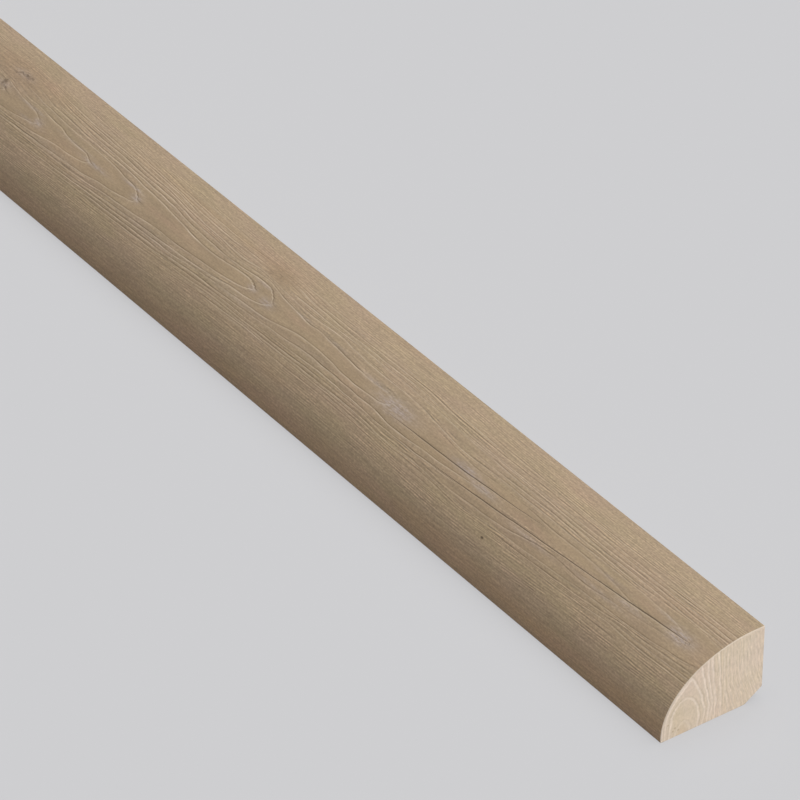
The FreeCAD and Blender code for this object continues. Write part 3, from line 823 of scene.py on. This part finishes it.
def sawnEndGrain():
    material, tree, shader = newMaterial("sawnEndGrain")
    place = millimetres(tree)
    x, y, z = addNode(tree, "ShaderNodeSeparateXYZ", {0: place}).outputs[:3]
    marks = addNode(tree, "ShaderNodeAttribute", attribute_name="endGrain").outputs["Vector"]
    ring, pace, height = addNode(tree, "ShaderNodeSeparateXYZ", {0: marks}).outputs[:3]
    wobble = sums(tree, "MULTIPLY", sums(tree, "SUBTRACT", noiseOn(tree, place, (0.02, 0.9, 0.5), 2.0), 0.5), 0.45)
    ringIndex = sums(tree, "ROUND", ring)
    off = sums(tree, "ADD", sums(tree, "DIVIDE", sums(tree, "SUBTRACT", ring, ringIndex), pace), wobble)
    chance = addNode(tree, "ShaderNodeCombineXYZ", {0: sums(tree, "MULTIPLY", ringIndex, 5.3),
                                                    1: sums(tree, "MULTIPLY", z, 0.12)}).outputs[0]
    shown = ranged(tree, noiseOn(tree, chance, (1, 1, 1), 1.0), 0.35, 0.6, 0.6, 1.0)
    shown = sums(tree, "MULTIPLY", shown, ranged(tree, y, 14.0, 18.0, 1.0, 0.35))
    pale = sums(tree, "MULTIPLY", bell(tree, off, 0.0, 0.45), sums(tree, "MULTIPLY", shown, ranged(tree, ring, 3.5, 4.0, 1.0, 0.5)))
    brown = sums(tree, "MULTIPLY", bell(tree, off, -0.42, 0.36), shown)
    brown = sums(tree, "MULTIPLY", brown, ranged(tree, ring, 3.6, 4.1, 1.0, 0.4))
    alongRings = addNode(tree, "ShaderNodeCombineXYZ", {0: ring, 1: z}).outputs[0]
    fineLines = noiseOn(tree, alongRings, (3.4, 0.42, 1), 1.0)
    mottle = noiseOn(tree, place, (0.02, 1.9, 1.3), 1.0, (0, 4, 0), 0.6)
    colour = rawColour(tree, noiseOn(tree, place, (0.02, 0.12, 0.12), 2.0),
                       noiseOn(tree, place, (0.02, 0.2, 0.1), 2.0, (0, 40, 0)))
    colour = blendIn(tree, ranged(tree, ring, 4.0, 4.5, 0.0, 0.5), colour, rawOak["heart"])
    colour = blendIn(tree, sums(tree, "MULTIPLY", brown, 0.28), colour, rawOak["brown"])
    colour = blendIn(tree, sums(tree, "MULTIPLY", pale, 0.55), colour, rawOak["pale"])
    for fromToe, up, size in rawOak["specks"]:
        spot = addNode(tree, "ShaderNodeCombineXYZ", {0: x, 1: fromToe, 2: up}).outputs[0]
        away = addNode(tree, "ShaderNodeVectorMath", {0: place, 1: spot}, operation="DISTANCE").outputs["Value"]
        colour = blendIn(tree, ranged(tree, away, 0.0, size, 0.8, 0.0, "SMOOTHSTEP"), colour, rawOak["brown"])
    swing = sums(tree, "MULTIPLY", sums(tree, "SUBTRACT", fineLines, 0.5), rawOak["fineLines"] / 0.1)
    swing = sums(tree, "MULTIPLY", swing, ranged(tree, y, 8.0, 14.0, 0.3, 1.0))
    rough = sums(tree, "MULTIPLY", sums(tree, "SUBTRACT", mottle, 0.5), rawOak["mottle"] / 0.2)
    light = sums(tree, "ADD", sums(tree, "ADD", swing, rough), 1.0)
    colour = scaledColour(tree, colour, light)
    fromEnd = sums(tree, "SUBTRACT", cadHigh.x / mm, sums(tree, "ABSOLUTE", x))
    colour = blendIn(tree, ranged(tree, fromEnd, 0.0, 0.04), colour, rawOak["arris"])
    tree.links.new(colour, shader.inputs["Base Color"])
    relief = sums(tree, "ADD", sums(tree, "MULTIPLY", fineLines, 0.015), sums(tree, "MULTIPLY", mottle, 0.01))
    bump = addNode(tree, "ShaderNodeBump", {"Strength": 1.0, "Distance": mm, "Height": relief})
    tree.links.new(bump.outputs[0], shader.inputs["Normal"])
    shader.inputs["Roughness"].default_value = rawOak["roughness"]
    shader.inputs["Specular IOR Level"].default_value = rawOak["specular"]
    return material


def planedOak():
    material, tree, shader = newMaterial("planedOak")
    place = millimetres(tree)
    x, y, z = addNode(tree, "ShaderNodeSeparateXYZ", {0: place}).outputs[:3]
    around = sums(tree, "ADD", y, z)
    face = addNode(tree, "ShaderNodeCombineXYZ", {0: x, 1: around}).outputs[0]
    bend = noiseOn(tree, face, (0.004, 0.06, 1), 3.0)
    rings = sums(tree, "ADD", sums(tree, "MULTIPLY", around, 0.5), sums(tree, "MULTIPLY", bend, 9.0))
    share = sums(tree, "FRACT", rings)
    brown = ranged(tree, sums(tree, "ABSOLUTE", sums(tree, "SUBTRACT", share, 0.5)), 0.05, 0.25, 1.0, 0.0, "SMOOTHSTEP")
    fibre = noiseOn(tree, face, (0.12, 3.2, 1), 3.0)
    pores = noiseOn(tree, face, (0.35, 4.5, 1), 1.0, (0, 17, 0))
    colour = rawColour(tree, noiseOn(tree, face, (0.01, 0.1, 1), 2.0), noiseOn(tree, face, (0.02, 0.2, 1), 2.0, (0, 40, 0)))
    shown = ranged(tree, noiseOn(tree, face, (0.03, 0.5, 1), 2.0, (0, 60, 0)), 0.35, 0.65, 0.1, 0.42)
    colour = blendIn(tree, sums(tree, "MULTIPLY", brown, shown), colour, rawOak["brown"])
    colour = blendIn(tree, ranged(tree, pores, 0.6, 0.7, 0.0, 0.35), colour, rawOak["brown"])
    tree.links.new(scaledColour(tree, colour, ranged(tree, fibre, 0.3, 0.7, 0.93, 1.06)), shader.inputs["Base Color"])
    height = sums(tree, "SUBTRACT", sums(tree, "MULTIPLY", fibre, 0.03), sums(tree, "MULTIPLY", pores, 0.03))
    bump = addNode(tree, "ShaderNodeBump", {"Strength": 1.0, "Distance": mm, "Height": height})
    tree.links.new(bump.outputs[0], shader.inputs["Normal"])
    shader.inputs["Roughness"].default_value = rawOak["roughness"]
    shader.inputs["Specular IOR Level"].default_value = rawOak["specular"]
    return material


# The room: floor, light and camera
studio = {
    "floorSize": 60.0,
    "floorColour": (0.617, 0.617, 0.631, 1),
    "ambient": 0.13,
    "faintShadow": 0.75,  # how much of the floor shows its own colour whatever falls on it
    "lights": [  # name, direction towards the light, share of a full light, spread in degrees
        ("overheadLight", (0.0, 0.30, 1.0), 0.75, 70),
        ("endLight", (1.0, 0.0, 0.26), 0.62, 30),
    ],
}

view = {
    "azimuth": 54.54,
    "elevation": 35.19,
    "lens": 232.54,
    "aimFromEnd": 122.0 * mm,
    "aimFromToe": 20.1 * mm,
    "aimHeight": 9.5 * mm,
    "distance": 1163.9 * mm,
}


def seenDirectly(tree):
    # one for what the camera sees, straight or in a reflection, and nought for the light that lands on things
    rays = addNode(tree, "ShaderNodeLightPath").outputs
    glossy = sums(tree, "MAXIMUM", rays["Is Camera Ray"], rays["Is Glossy Ray"])
    return sums(tree, "MAXIMUM", glossy, rays["Is Transmission Ray"])


def makeFloor():
    bm = bmesh.new()
    bmesh.ops.create_grid(bm, x_segments=1, y_segments=1, size=studio["floorSize"] / 2)
    mesh = bpy.data.meshes.new("studioFloor")
    bm.to_mesh(mesh)
    bm.free()
    floor = bpy.data.objects.new("studioFloor", mesh)
    bpy.context.scene.collection.objects.link(floor)
    material, tree, shader = newMaterial("paleFloor")
    shader.inputs["Base Color"].default_value = studio["floorColour"]
    shader.inputs["Roughness"].default_value = 1.0
    shader.inputs["Specular IOR Level"].default_value = 0.0
    glow = addNode(tree, "ShaderNodeEmission", {"Color": studio["floorColour"], "Strength": 1.0}).outputs[0]
    mixed = addNode(tree, "ShaderNodeMixShader",
                    {0: sums(tree, "MULTIPLY", seenDirectly(tree), studio["faintShadow"]), 1: shader.outputs[0], 2: glow})
    tree.links.new(mixed.outputs[0], tree.nodes["Material Output"].inputs["Surface"])
    mesh.materials.append(material)


def makeLights():
    for name, towards, share, spread in studio["lights"]:
        lamp = bpy.data.lights.new(name, "SUN")
        lamp.energy = math.pi * share
        lamp.angle = math.radians(spread)
        holder = bpy.data.objects.new(name, lamp)
        holder.rotation_euler = Vector(towards).to_track_quat("Z", "Y").to_euler()
        bpy.context.scene.collection.objects.link(holder)
    world = bpy.data.worlds.new("studioWorld")
    world.use_nodes = True
    tree = world.node_tree
    background = tree.nodes["Background"]
    ambient = (studio["ambient"],) * 3 + (1,)
    tree.links.new(blendIn(tree, seenDirectly(tree), ambient, studio["floorColour"]), background.inputs["Color"])
    bpy.context.scene.world = world


def makeCamera():
    azimuth, elevation = math.radians(view["azimuth"]), math.radians(view["elevation"])
    back = Vector((math.sin(azimuth) * math.cos(elevation), -math.cos(azimuth) * math.cos(elevation),
                   math.sin(elevation)))
    aim = Vector((cadHigh.x - view["aimFromEnd"], cadLow.y + view["aimFromToe"], view["aimHeight"]))
    data = bpy.data.cameras.new("photoCamera")
    data.lens = view["lens"]
    data.clip_start = 0.05
    data.clip_end = 100
    camera = bpy.data.objects.new("photoCamera", data)
    camera.location = aim + back * view["distance"]
    camera.rotation_euler = (-back).to_track_quat("-Z", "Y").to_euler()
    bpy.context.scene.collection.objects.link(camera)
    bpy.context.scene.camera = camera


farGrain()
mesh = stickMesh()
print("stick meshed:", len(mesh.polygons), "faces")
grainOnto(mesh)
print("grain stored and pressed in")
for made in (stainedOak(), sawnEndGrain(), planedOak()):
    mesh.materials.append(made)
moulding = bpy.data.objects.new("oakMoulding", mesh)
bpy.context.scene.collection.objects.link(moulding)
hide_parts("quarter_round")
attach(moulding, "root")
print("moulding finished")

makeFloor()
makeLights()
makeCamera()
bpy.context.scene.view_settings.view_transform = "Standard"
print("studio ready")
